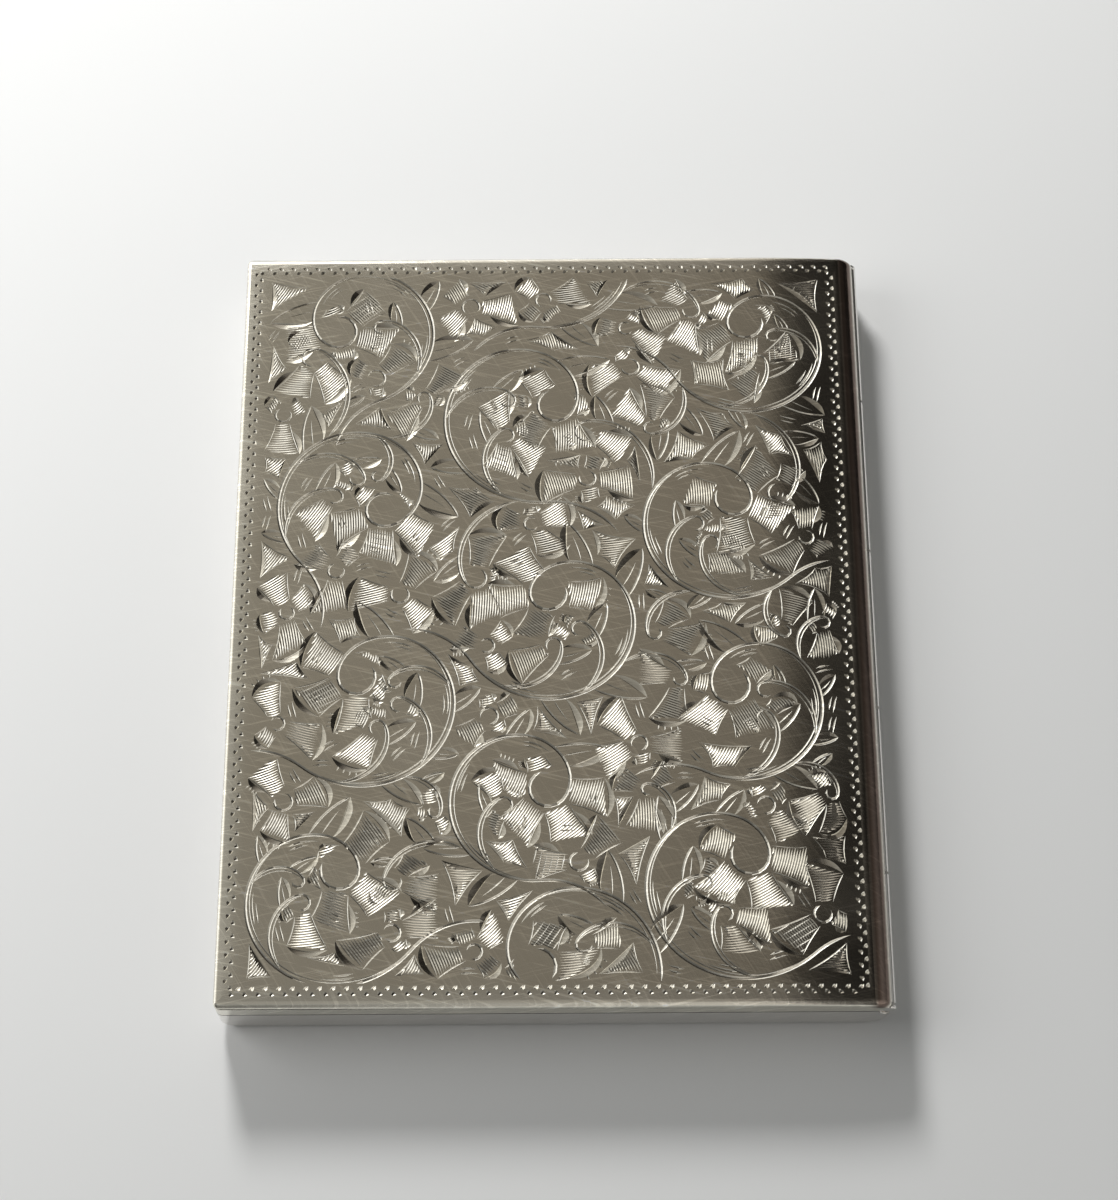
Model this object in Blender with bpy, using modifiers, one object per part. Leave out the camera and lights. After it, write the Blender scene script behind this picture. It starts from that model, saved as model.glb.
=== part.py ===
"""Flat silver card case: a shallow lid and a deeper tray joined by a full-length knuckle hinge.

Metres, +Z up. The closed case lies on its back with the origin at the centre of its underside.
+X points to the hinge side and +Y runs along the hinge. -X is the opening side (fore edge).
"""

import math

import bmesh
import bpy
from mathutils import Matrix, Vector

# Case envelope
CASE_WIDTH = 0.0760
CASE_LENGTH = 0.0960
CASE_HEIGHT = 0.0086
SPLIT_Z = 0.0055
SEAM = 0.0002
SHEET = 0.0008
SOLDER_GAP = 0.0002

# Edge shapes of the two shells
END_EDGE_R = 0.0008
LID_FORE_EDGE_R = 0.0005
LID_SPINE_ROLL_R = 0.0024
CROWN_START_X = 0.0250
CROWN_END_SLOPE = math.radians(6.0)
TRAY_FORE_ROLL_R = 0.0020
TRAY_SPINE_ROLL_R = 0.0030
OVERCUT = 0.0020

# Knuckle hinge
PIVOT_X = 0.03755
BARREL_R = 0.00085
CHANNEL_R = 0.00110
KNUCKLE_BORE_R = 0.00046
PIN_R = 0.00040
BARREL_HALF = 0.04785
CAP_LENGTH = 0.00050
FIRST_BREAK_Y = 0.0286
KNUCKLE_PITCH = 0.0202
BREAK_COUNT = 4
KNUCKLE_GAP = 0.0003
PIN_CAP_DOME = 0.00018
ROUND_STEPS = 32

# Strips that carry the knuckles, and the bezel that the lid closes over
STRIP_THICKNESS = 0.00045
STRIP_INBOARD = 0.00135
LID_STRIP_HEIGHT = 0.0014
BEZEL_THICKNESS = 0.00050
BEZEL_CLEARANCE = 0.00025
BEZEL_TOP_Z = 0.0069
BEZEL_FOOT_Z = 0.0015
BEZEL_END_X = 0.0353
BEZEL_CORNER_R = 0.0008
CATCH_WINDOW_HALF = 0.0070
CATCH_WINDOW_Z = 0.0020

# Push-button catch in the middle of the fore edge
BUTTON_HALF_LENGTH = 0.0040
BUTTON_LOW_Z = 0.00245
BUTTON_HIGH_Z = 0.00415
BUTTON_PROUD = 0.0004
BUTTON_CLEARANCE = 0.00025
FLANGE_MARGIN = 0.0007
FLANGE_THICKNESS = 0.0004
FLANGE_GAP = 0.0003
TONGUE_HALF_LENGTH = 0.0030
TONGUE_FACE_X = -0.03630
TONGUE_BACK_X = -0.03555
TONGUE_THICKNESS = 0.0004
TONGUE_TOP_Z = 0.0066
KEEPER_HALF_LENGTH = 0.0032
KEEPER_LIP_X = -0.03625
KEEPER_LIP_LOW_Z = 0.0051
KEEPER_LIP_HIGH_Z = 0.0055
KEEPER_THICKNESS = 0.0004
KEEPER_GAP = 0.00015
NOSE_X = -0.03613
NOSE_LOW_Z = 0.0057
NOSE_HIGH_Z = 0.0061
NOSE_BLUNT = 0.0001
LEAF_THICKNESS = 0.0002
LEAF_MIDDLE_X = -0.03500
LEAF_END_X = -0.03625
LEAF_FLAT_HALF = 0.0042
LEAF_BEND_Y = 0.0083
LEAF_HALF_LENGTH = 0.0105
LEAF_LOW_Z = 0.0026
LEAF_HIGH_Z = 0.0042
RIVET_Y = 0.0095
RIVET_SHANK_R = 0.0003
RIVET_SHANK_LENGTH = 0.0005
RIVET_PROUD = 0.0001
RIVET_HEAD_R = 0.0007
RIVET_HEAD_LENGTH = 0.00035
RIVET_HEAD_DOME = 0.00015
RIVET_HOLE_R = 0.00045

# Sprung arm that keeps the cards in the tray
ARM_PIVOT_X = 0.0332
ARM_PIVOT_Z = 0.0049
ROD_R = 0.0005
ROD_HALF = 0.0452
LUG_Y = 0.0440
LUG_THICKNESS = 0.0012
LUG_HALF_WIDTH = 0.0012
LUG_FOOT_Z = 0.0010
LUG_TOP_Z = 0.0059
LUG_CORNER_R = 0.0011
LUG_BORE_R = 0.00060
SLEEVE_R = 0.00095
SLEEVE_BORE_R = 0.00058
SLEEVE_LENGTH = 0.0044
ARM_OUTER_Y = 0.0420
ARM_LEG_WIDTH = 0.0024
ARM_BACK_X = 0.0341
ARM_FRONT_X = -0.0080
ARM_BAR_WIDTH = 0.0050
ARM_CORNER_R = 0.0060
ARM_LOW_Z = 0.00595
ARM_THICKNESS = 0.0006
COIL_R = 0.00080
COIL_WIRE_R = 0.00015
COIL_TURNS = 6
COIL_START_Y = 0.0345
COIL_LENGTH = 0.0033
COIL_STEPS = 14
COIL_TAIL = 0.0026

HALF_WIDTH = CASE_WIDTH / 2
HALF_LENGTH = CASE_LENGTH / 2
FORE_WALL_X = -HALF_WIDTH + SHEET
BORE_CUTTER_LENGTH = 0.0040

# Resolution of the curved shapes
CORNER_SEGMENTS = 5
ARM_CORNER_SEGMENTS = 8
EDGE_SEGMENTS = 3
CROWN_STEPS = 6
ROLL_STEPS = 8
CRISP_ANGLE = math.radians(35)


def clear_scene():
    for old in list(bpy.data.objects):
        bpy.data.objects.remove(old, do_unlink=True)


def new_collection(name):
    collection = bpy.data.collections.new(name)
    bpy.context.scene.collection.children.link(collection)
    return collection


def metal(name, colour, roughness):
    material = bpy.data.materials.new(name)
    material.use_nodes = True
    surface = material.node_tree.nodes["Principled BSDF"]
    surface.inputs["Base Color"].default_value = (*colour, 1.0)
    surface.inputs["Roughness"].default_value = roughness
    surface.inputs["Metallic"].default_value = 1.0
    return material


clear_scene()
PARTS = new_collection("card_case")
CUTTERS = new_collection("card_case_cutters")
ENGRAVED = metal("engraved_silver", (0.74, 0.72, 0.68), 0.22)
POLISHED = metal("polished_silver", (0.80, 0.79, 0.77), 0.15)
SATIN = metal("satin_silver", (0.76, 0.75, 0.72), 0.38)
STEEL = metal("spring_steel", (0.58, 0.58, 0.60), 0.30)


def arc(centre, radius, start, end, steps):
    """Points on a circle from one angle to another, both included."""
    return [
        (
            centre[0] + radius * math.cos(start + (end - start) * i / steps),
            centre[1] + radius * math.sin(start + (end - start) * i / steps),
        )
        for i in range(steps + 1)
    ]


def rounded(corners, segments=CORNER_SEGMENTS):
    """A closed outline from (x, y, radius) corners, each rounded by its radius."""
    points = []
    for i, (x, y, radius) in enumerate(corners):
        here = Vector((x, y))
        if radius == 0:
            points.append((x, y))
            continue
        back = (Vector(corners[i - 1][:2]) - here).normalized()
        ahead = (Vector(corners[(i + 1) % len(corners)][:2]) - here).normalized()
        half = back.angle(ahead) / 2
        centre = here + (back + ahead).normalized() * radius / math.sin(half)
        first = here + back * radius / math.tan(half) - centre
        last = here + ahead * radius / math.tan(half) - centre
        turn = first.angle_signed(last)
        for k in range(segments + 1):
            spoke = Matrix.Rotation(-turn * k / segments, 2) @ first
            points.append(tuple(centre + spoke))
    return points


def finish(obj, material):
    """Gives a mesh object its material and smooth shading with crisp corners."""
    obj.data.materials.append(material)
    obj.data.shade_smooth()
    obj.data.set_sharp_from_angle(angle=CRISP_ANGLE)
    return obj


def as_object(name, mesh, collection=PARTS):
    obj = bpy.data.objects.new(name, mesh)
    collection.objects.link(obj)
    return obj


def prism(name, outline, depth, centre, frame, collection=PARTS):
    """An outline filled and extruded by depth; frame turns the outline's plane into the world."""
    curve = bpy.data.curves.new(name, "CURVE")
    curve.dimensions = "2D"
    curve.fill_mode = "BOTH"
    curve.extrude = depth / 2
    spline = curve.splines.new("POLY")
    spline.points.add(len(outline) - 1)
    for point, (x, y) in zip(spline.points, outline):
        point.co = (x, y, 0.0, 1.0)
    spline.use_cyclic_u = True
    source = bpy.data.objects.new(name + "_outline", curve)
    PARTS.objects.link(source)
    source.matrix_world = Matrix.Translation(centre) @ frame
    bpy.context.view_layer.update()
    evaluated = source.evaluated_get(bpy.context.evaluated_depsgraph_get())
    mesh = bpy.data.meshes.new_from_object(evaluated)
    mesh.name = name
    mesh.transform(source.matrix_world)
    bpy.data.objects.remove(source)
    work = bmesh.new()
    work.from_mesh(mesh)
    bmesh.ops.remove_doubles(work, verts=work.verts, dist=1e-7)
    bmesh.ops.dissolve_limit(work, angle_limit=0.0005, verts=work.verts, edges=work.edges)
    bmesh.ops.recalc_face_normals(work, faces=work.faces)
    work.to_mesh(mesh)
    work.free()
    return as_object(name, mesh, collection)


ALONG_X = Matrix.Rotation(math.radians(90), 4, "Y")
ALONG_Y = Matrix.Rotation(math.radians(90), 4, "X")
ALONG_Z = Matrix.Identity(4)


def round_edges(obj, radius, chosen):
    """Bevels the edges whose two end points pass the test."""
    work = bmesh.new()
    work.from_mesh(obj.data)
    edges = [edge for edge in work.edges if chosen(edge.verts[0].co, edge.verts[1].co)]
    bmesh.ops.bevel(
        work,
        geom=edges,
        offset=radius,
        segments=EDGE_SEGMENTS,
        profile=0.5,
        affect="EDGES",
        clamp_overlap=True,
    )
    work.to_mesh(obj.data)
    work.free()


def box(name, low, high, collection=PARTS):
    """A box between two corners."""
    work = bmesh.new()
    bmesh.ops.create_cube(work, size=1.0)
    low = Vector(low)
    high = Vector(high)
    size = high - low
    bmesh.ops.scale(work, vec=size, verts=work.verts)
    bmesh.ops.translate(work, vec=(low + high) / 2, verts=work.verts)
    mesh = bpy.data.meshes.new(name)
    work.to_mesh(mesh)
    work.free()
    return as_object(name, mesh, collection)


def cylinder(name, radius, length, centre, frame, collection=PARTS, dome=0.0):
    """A round bar along the frame's Z; dome rounds both end rims."""
    work = bmesh.new()
    bmesh.ops.create_cone(
        work, cap_ends=True, segments=ROUND_STEPS, radius1=radius, radius2=radius, depth=length
    )
    if dome > 0:
        rims = [edge for edge in work.edges if abs(edge.verts[0].co.z - edge.verts[1].co.z) < 1e-9]
        bmesh.ops.bevel(work, geom=rims, offset=dome, segments=EDGE_SEGMENTS, profile=0.5, affect="EDGES")
    mesh = bpy.data.meshes.new(name)
    work.to_mesh(mesh)
    work.free()
    obj = as_object(name, mesh, collection)
    obj.matrix_world = Matrix.Translation(centre) @ frame
    return obj


def tube(name, radius, bore, low_y, high_y, x, z):
    """A tube along Y, turned from its wall's section."""
    half = (high_y - low_y) / 2
    section = [(radius, 0.0, half), (radius, 0.0, -half), (bore, 0.0, -half), (bore, 0.0, half)]
    mesh = bpy.data.meshes.new(name)
    mesh.from_pydata(section, [(i, (i + 1) % len(section)) for i in range(len(section))], [])
    obj = as_object(name, mesh)
    obj.location = (x, (low_y + high_y) / 2, z)
    obj.rotation_euler = (-math.pi / 2, 0.0, 0.0)
    screw = obj.modifiers.new("turn", "SCREW")
    screw.angle = 2 * math.pi
    screw.steps = ROUND_STEPS
    screw.render_steps = ROUND_STEPS
    screw.use_merge_vertices = True
    screw.merge_threshold = 1e-6
    screw.use_smooth_shade = True
    return obj


def combine(obj, guide, operation):
    """Joins or subtracts a guide shape, which itself stays out of renders."""
    guide.hide_render = True
    guide.display_type = "WIRE"
    boolean = obj.modifiers.new(guide.name, "BOOLEAN")
    boolean.operation = operation
    boolean.solver = "EXACT"
    boolean.object = guide


def cut(obj, cutter):
    combine(obj, cutter, "DIFFERENCE")


def end_loop_edge(low_z, high_z):
    """Test for edges round the shell's two end faces, between two heights."""

    def chosen(a, b):
        at_end = abs(abs(a.y) - HALF_LENGTH) < 1e-6 and abs(a.y - b.y) < 1e-6
        middle = (a.z + b.z) / 2
        return at_end and low_z < middle < high_z

    return chosen


def crown_profile(inset, floor_z):
    """Section of the lid: flat top, crowned towards the hinge and rolled over at the spine."""
    roll_r = LID_SPINE_ROLL_R - inset
    roll_x = HALF_WIDTH - LID_SPINE_ROLL_R
    crown_end_x = roll_x + LID_SPINE_ROLL_R * math.sin(CROWN_END_SLOPE)
    crown_length = crown_end_x - CROWN_START_X
    crown_drop = crown_length * math.tan(CROWN_END_SLOPE) / 2
    roll_z = CASE_HEIGHT - crown_drop - LID_SPINE_ROLL_R * math.cos(CROWN_END_SLOPE)
    top_z = CASE_HEIGHT - inset
    fore_x = -HALF_WIDTH + inset
    fore_r = max(LID_FORE_EDGE_R - inset, 0.0)
    points = [(fore_x, floor_z)]
    if fore_r > 0:
        fore_centre = (fore_x + fore_r, top_z - fore_r)
        points += arc(fore_centre, fore_r, math.pi, math.pi / 2, EDGE_SEGMENTS)
    else:
        points.append((fore_x, top_z))
    for i in range(CROWN_STEPS):
        along = crown_length * i / CROWN_STEPS
        points.append((CROWN_START_X + along, top_z - crown_drop * (i / CROWN_STEPS) ** 2))
    points += arc((roll_x, roll_z), roll_r, math.pi / 2 - CROWN_END_SLOPE, 0.0, ROLL_STEPS)
    points.append((roll_x + roll_r, floor_z))
    return points


def tray_profile(inset, rim_z):
    """Section of the tray: flat underside with a small roll in front and a larger one at the spine."""
    return rounded([
        (-HALF_WIDTH + inset, rim_z, 0.0),
        (-HALF_WIDTH + inset, inset, TRAY_FORE_ROLL_R - inset),
        (HALF_WIDTH - inset, inset, TRAY_SPINE_ROLL_R - inset),
        (HALF_WIDTH - inset, rim_z, 0.0),
    ])


def hinge_channel(name):
    """Round channel along the spine that leaves room for the barrel."""
    length = CASE_LENGTH + 2 * OVERCUT
    return cylinder(name, CHANNEL_R, length, (PIVOT_X, 0.0, SPLIT_Z), ALONG_Y, CUTTERS)


def cut_cavity(shell, name, outline):
    """Hollows a shell, leaving end walls one sheet thick."""
    inner_length = CASE_LENGTH - 2 * SHEET
    cut(shell, prism(name, outline, inner_length, (0, 0, 0), ALONG_Y, CUTTERS))


def build_tray():
    rim_z = SPLIT_Z - SEAM / 2
    shell = prism("base_shell", tray_profile(0.0, rim_z), CASE_LENGTH, (0, 0, 0), ALONG_Y)
    round_edges(shell, END_EDGE_R, end_loop_edge(-1.0, rim_z - 1e-6))
    cut_cavity(shell, "base_cavity", tray_profile(SHEET, rim_z + OVERCUT))
    cut(shell, hinge_channel("base_channel"))
    slot_half = BUTTON_HALF_LENGTH + BUTTON_CLEARANCE
    slot = box(
        "button_slot",
        (-HALF_WIDTH - OVERCUT, -slot_half, BUTTON_LOW_Z - BUTTON_CLEARANCE),
        (FORE_WALL_X + OVERCUT, slot_half, BUTTON_HIGH_Z + BUTTON_CLEARANCE),
        CUTTERS,
    )
    cut(shell, slot)
    finish(shell, POLISHED)


def build_lid():
    rim_z = SPLIT_Z + SEAM / 2
    shell = prism("lid_shell", crown_profile(0.0, rim_z), CASE_LENGTH, (0, 0, 0), ALONG_Y)
    round_edges(shell, END_EDGE_R, end_loop_edge(rim_z + 1e-6, 1.0))
    cut_cavity(shell, "lid_cavity", crown_profile(SHEET, rim_z - OVERCUT))
    cut(shell, hinge_channel("lid_channel"))
    finish(shell, ENGRAVED)


def build_hinge():
    """Five knuckles on one pin: the tray carries the first, third and fifth, the lid the others."""
    strip_high_x = PIVOT_X - STRIP_INBOARD
    strip_low_x = strip_high_x - STRIP_THICKNESS
    strip_half = HALF_LENGTH - SHEET - SOLDER_GAP
    tray_strip = box(
        "base_hinge_strip",
        (strip_low_x, -strip_half, BEZEL_FOOT_Z),
        (strip_high_x, strip_half, SPLIT_Z - SEAM / 2),
    )
    finish(tray_strip, SATIN)
    lid_strip = box(
        "lid_hinge_strip",
        (strip_low_x, -strip_half, SPLIT_Z + SEAM / 2),
        (strip_high_x, strip_half, SPLIT_Z + LID_STRIP_HEIGHT),
    )
    finish(lid_strip, SATIN)
    tube_half = BARREL_HALF - CAP_LENGTH - SOLDER_GAP
    breaks = [FIRST_BREAK_Y - KNUCKLE_PITCH * i for i in range(BREAK_COUNT)]
    ends = [tube_half] + breaks + [-tube_half]
    for i in range(BREAK_COUNT + 1):
        high_y = ends[i] - (KNUCKLE_GAP / 2 if i > 0 else 0.0)
        low_y = ends[i + 1] + (KNUCKLE_GAP / 2 if i < BREAK_COUNT else 0.0)
        owner = "base" if i % 2 == 0 else "lid"
        name = f"{owner}_knuckle_{i + 1}"
        finish(tube(name, BARREL_R, KNUCKLE_BORE_R, low_y, high_y, PIVOT_X, SPLIT_Z), POLISHED)
    pin_length = 2 * (tube_half - SOLDER_GAP)
    finish(cylinder("hinge_pin", PIN_R, pin_length, (PIVOT_X, 0.0, SPLIT_Z), ALONG_Y), STEEL)
    for side, sign in (("far", 1), ("near", -1)):
        centre = (PIVOT_X, sign * (BARREL_HALF - CAP_LENGTH / 2), SPLIT_Z)
        cap = cylinder(f"pin_cap_{side}", BARREL_R, CAP_LENGTH, centre, ALONG_Y, dome=PIN_CAP_DOME)
        finish(cap, POLISHED)


def build_bezel():
    """Strip inside three walls of the tray; it stands up into the lid and has a window for the catch."""
    outer_x = FORE_WALL_X + BEZEL_CLEARANCE
    inner_x = outer_x + BEZEL_THICKNESS
    outer_y = HALF_LENGTH - SHEET - BEZEL_CLEARANCE
    inner_y = outer_y - BEZEL_THICKNESS
    inner_r = BEZEL_CORNER_R - BEZEL_THICKNESS
    outline = rounded([
        (BEZEL_END_X, outer_y, 0.0),
        (outer_x, outer_y, BEZEL_CORNER_R),
        (outer_x, -outer_y, BEZEL_CORNER_R),
        (BEZEL_END_X, -outer_y, 0.0),
        (BEZEL_END_X, -inner_y, 0.0),
        (inner_x, -inner_y, inner_r),
        (inner_x, inner_y, inner_r),
        (BEZEL_END_X, inner_y, 0.0),
    ])
    height = BEZEL_TOP_Z - BEZEL_FOOT_Z
    bezel = prism("base_bezel", outline, height, (0, 0, BEZEL_FOOT_Z + height / 2), ALONG_Z)
    window = box(
        "catch_window",
        (outer_x - OVERCUT, -CATCH_WINDOW_HALF, CATCH_WINDOW_Z),
        (inner_x + OVERCUT, CATCH_WINDOW_HALF, BEZEL_TOP_Z + OVERCUT),
        CUTTERS,
    )
    cut(bezel, window)
    finish(bezel, SATIN)


def build_catch():
    """Flanged button, the tongue it pushes back, the leaf spring behind them and the lid's keeper."""
    flange_face_x = FORE_WALL_X + FLANGE_GAP
    button = prism(
        "push_button",
        [
            (-HALF_WIDTH - BUTTON_PROUD, -BUTTON_HALF_LENGTH),
            (flange_face_x, -BUTTON_HALF_LENGTH),
            (flange_face_x, -BUTTON_HALF_LENGTH - FLANGE_MARGIN),
            (flange_face_x + FLANGE_THICKNESS, -BUTTON_HALF_LENGTH - FLANGE_MARGIN),
            (flange_face_x + FLANGE_THICKNESS, BUTTON_HALF_LENGTH + FLANGE_MARGIN),
            (flange_face_x, BUTTON_HALF_LENGTH + FLANGE_MARGIN),
            (flange_face_x, BUTTON_HALF_LENGTH),
            (-HALF_WIDTH - BUTTON_PROUD, BUTTON_HALF_LENGTH),
        ],
        BUTTON_HIGH_Z - BUTTON_LOW_Z,
        (0, 0, (BUTTON_LOW_Z + BUTTON_HIGH_Z) / 2),
        ALONG_Z,
    )
    finish(button, POLISHED)

    tongue_upright_x = TONGUE_BACK_X - TONGUE_THICKNESS
    tongue = prism(
        "catch_tongue",
        [
            (TONGUE_FACE_X, BUTTON_LOW_Z),
            (TONGUE_BACK_X, BUTTON_LOW_Z),
            (TONGUE_BACK_X, TONGUE_TOP_Z),
            (tongue_upright_x, TONGUE_TOP_Z),
            (tongue_upright_x, NOSE_HIGH_Z),
            (NOSE_X, NOSE_LOW_Z + NOSE_BLUNT),
            (NOSE_X, NOSE_LOW_Z),
            (tongue_upright_x, NOSE_LOW_Z),
            (tongue_upright_x, BUTTON_HIGH_Z),
            (TONGUE_FACE_X, BUTTON_HIGH_Z),
        ],
        2 * TONGUE_HALF_LENGTH,
        (0, 0, 0),
        ALONG_Y,
    )
    finish(tongue, STEEL)

    keeper_face_x = FORE_WALL_X + BEZEL_CLEARANCE
    keeper_top_z = CASE_HEIGHT - SHEET - KEEPER_GAP
    keeper_back_x = keeper_face_x + KEEPER_THICKNESS
    keeper = prism(
        "catch_keeper",
        [
            (keeper_face_x, KEEPER_LIP_LOW_Z),
            (KEEPER_LIP_X, KEEPER_LIP_LOW_Z),
            (KEEPER_LIP_X, KEEPER_LIP_HIGH_Z),
            (keeper_back_x, KEEPER_LIP_HIGH_Z),
            (keeper_back_x, keeper_top_z),
            (keeper_face_x, keeper_top_z),
        ],
        2 * KEEPER_HALF_LENGTH,
        (0, 0, 0),
        ALONG_Y,
    )
    finish(keeper, STEEL)

    front = [
        (LEAF_END_X, -LEAF_HALF_LENGTH),
        (LEAF_END_X, -LEAF_BEND_Y),
        (LEAF_MIDDLE_X, -LEAF_FLAT_HALF),
        (LEAF_MIDDLE_X, LEAF_FLAT_HALF),
        (LEAF_END_X, LEAF_BEND_Y),
        (LEAF_END_X, LEAF_HALF_LENGTH),
    ]
    back = [(x + LEAF_THICKNESS, y) for x, y in reversed(front)]
    leaf_height = LEAF_HIGH_Z - LEAF_LOW_Z
    leaf_z = (LEAF_LOW_Z + LEAF_HIGH_Z) / 2
    leaf = prism("catch_spring", front + back, leaf_height, (0, 0, leaf_z), ALONG_Z)
    shank_x = LEAF_END_X - RIVET_PROUD + RIVET_SHANK_LENGTH / 2
    head_x = shank_x + (RIVET_SHANK_LENGTH + RIVET_HEAD_LENGTH) / 2
    shank_length = RIVET_SHANK_LENGTH + RIVET_HEAD_LENGTH / 2
    shank_middle_x = shank_x + RIVET_HEAD_LENGTH / 4
    for side, sign in (("far", 1), ("near", -1)):
        y = sign * RIVET_Y
        hole_centre = (LEAF_END_X, y, leaf_z)
        hole = cylinder(
            f"rivet_hole_{side}", RIVET_HOLE_R, BORE_CUTTER_LENGTH, hole_centre, ALONG_X, CUTTERS
        )
        cut(leaf, hole)
        rivet = cylinder(
            f"spring_rivet_{side}",
            RIVET_HEAD_R,
            RIVET_HEAD_LENGTH,
            (head_x, y, leaf_z),
            ALONG_X,
            dome=RIVET_HEAD_DOME,
        )
        shank_centre = (shank_middle_x, y, leaf_z)
        shank = cylinder(
            f"rivet_shank_{side}", RIVET_SHANK_R, shank_length, shank_centre, ALONG_X, CUTTERS
        )
        combine(rivet, shank, "UNION")
        finish(rivet, STEEL)
    finish(leaf, STEEL)


def coil_points(sign):
    """Points of a torsion coil round the arm's rod, with a straight tail at each end."""
    count = COIL_TURNS * COIL_STEPS
    points = []
    for i in range(count + 1):
        angle = math.pi + 2 * math.pi * i / COIL_STEPS
        along = COIL_START_Y + COIL_LENGTH * i / count
        points.append((
            ARM_PIVOT_X + COIL_R * math.cos(angle),
            sign * along,
            ARM_PIVOT_Z + COIL_R * math.sin(angle),
        ))
    first = points[0]
    last = points[-1]
    points.insert(0, (first[0], first[1], first[2] - COIL_TAIL))
    points.append((last[0], last[1], last[2] - COIL_TAIL))
    return points


def build_card_arm():
    """Flat U-shaped arm on two sleeves, its rod, lugs and coil springs."""
    finish(cylinder("arm_rod", ROD_R, 2 * ROD_HALF, (ARM_PIVOT_X, 0.0, ARM_PIVOT_Z), ALONG_Y), STEEL)
    leg_y = ARM_OUTER_Y - ARM_LEG_WIDTH / 2
    for side, sign in (("far", 1), ("near", -1)):
        lug = prism(
            f"arm_lug_{side}",
            rounded([
                (ARM_PIVOT_X - LUG_HALF_WIDTH, LUG_FOOT_Z, 0.0),
                (ARM_PIVOT_X + LUG_HALF_WIDTH, LUG_FOOT_Z, 0.0),
                (ARM_PIVOT_X + LUG_HALF_WIDTH, LUG_TOP_Z, LUG_CORNER_R),
                (ARM_PIVOT_X - LUG_HALF_WIDTH, LUG_TOP_Z, LUG_CORNER_R),
            ]),
            LUG_THICKNESS,
            (0, sign * LUG_Y, 0),
            ALONG_Y,
        )
        bore_centre = (ARM_PIVOT_X, sign * LUG_Y, ARM_PIVOT_Z)
        bore = cylinder(
            f"lug_bore_{side}", LUG_BORE_R, BORE_CUTTER_LENGTH, bore_centre, ALONG_Y, CUTTERS
        )
        cut(lug, bore)
        finish(lug, SATIN)
        sleeve = tube(
            f"arm_sleeve_{side}",
            SLEEVE_R,
            SLEEVE_BORE_R,
            sign * leg_y - SLEEVE_LENGTH / 2,
            sign * leg_y + SLEEVE_LENGTH / 2,
            ARM_PIVOT_X,
            ARM_PIVOT_Z,
        )
        finish(sleeve, POLISHED)
        curve = bpy.data.curves.new(f"arm_spring_{side}", "CURVE")
        curve.dimensions = "3D"
        curve.bevel_depth = COIL_WIRE_R
        curve.bevel_resolution = 2
        curve.use_fill_caps = True
        points = coil_points(sign)
        spline = curve.splines.new("POLY")
        spline.points.add(len(points) - 1)
        for slot, point in zip(spline.points, points):
            slot.co = (*point, 1.0)
        spring = bpy.data.objects.new(f"arm_spring_{side}", curve)
        spring.data.materials.append(STEEL)
        PARTS.objects.link(spring)

    inner_y = ARM_OUTER_Y - ARM_LEG_WIDTH
    inner_x = ARM_FRONT_X + ARM_BAR_WIDTH
    inner_r = ARM_CORNER_R - ARM_LEG_WIDTH
    arm = prism(
        "card_arm",
        rounded([
            (ARM_BACK_X, -ARM_OUTER_Y, 0.0),
            (ARM_FRONT_X, -ARM_OUTER_Y, ARM_CORNER_R),
            (ARM_FRONT_X, ARM_OUTER_Y, ARM_CORNER_R),
            (ARM_BACK_X, ARM_OUTER_Y, 0.0),
            (ARM_BACK_X, inner_y, 0.0),
            (inner_x, inner_y, inner_r),
            (inner_x, -inner_y, inner_r),
            (ARM_BACK_X, -inner_y, 0.0),
        ], ARM_CORNER_SEGMENTS),
        ARM_THICKNESS,
        (0, 0, ARM_LOW_Z + ARM_THICKNESS / 2),
        ALONG_Z,
    )
    finish(arm, POLISHED)


build_tray()
build_lid()
build_hinge()
build_bezel()
build_catch()
build_card_arm()
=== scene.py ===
"""Looks of the engraved silver card case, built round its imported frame.

The scene is in metres. The lid's engraving is drawn in millimetres on the lid's plane, with x towards the
hinge, y along it and the origin over the middle of the case. The ornament is a plain running scroll laid out
by rule.
"""

import math
import random

import bmesh
import bpy
import numpy as np
from mathutils import Euler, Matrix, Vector
from mathutils.bvhtree import BVHTree
from mathutils.kdtree import KDTree
from mathutils.geometry import delaunay_2d_cdt


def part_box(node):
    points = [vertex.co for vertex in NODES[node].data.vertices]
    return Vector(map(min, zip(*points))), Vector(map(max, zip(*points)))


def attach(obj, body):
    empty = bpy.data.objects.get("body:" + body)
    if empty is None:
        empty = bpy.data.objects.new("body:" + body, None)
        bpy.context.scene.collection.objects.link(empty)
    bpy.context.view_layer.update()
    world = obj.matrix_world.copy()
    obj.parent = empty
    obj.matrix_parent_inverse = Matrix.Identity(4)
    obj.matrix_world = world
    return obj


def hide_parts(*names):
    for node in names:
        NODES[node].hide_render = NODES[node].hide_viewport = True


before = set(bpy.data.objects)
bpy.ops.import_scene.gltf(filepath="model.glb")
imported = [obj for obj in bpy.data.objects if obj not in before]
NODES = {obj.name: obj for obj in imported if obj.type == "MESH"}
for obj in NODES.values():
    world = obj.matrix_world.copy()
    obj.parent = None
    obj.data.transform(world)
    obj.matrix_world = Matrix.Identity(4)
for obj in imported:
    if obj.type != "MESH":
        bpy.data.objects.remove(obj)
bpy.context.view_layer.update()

MM = 0.001

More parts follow.
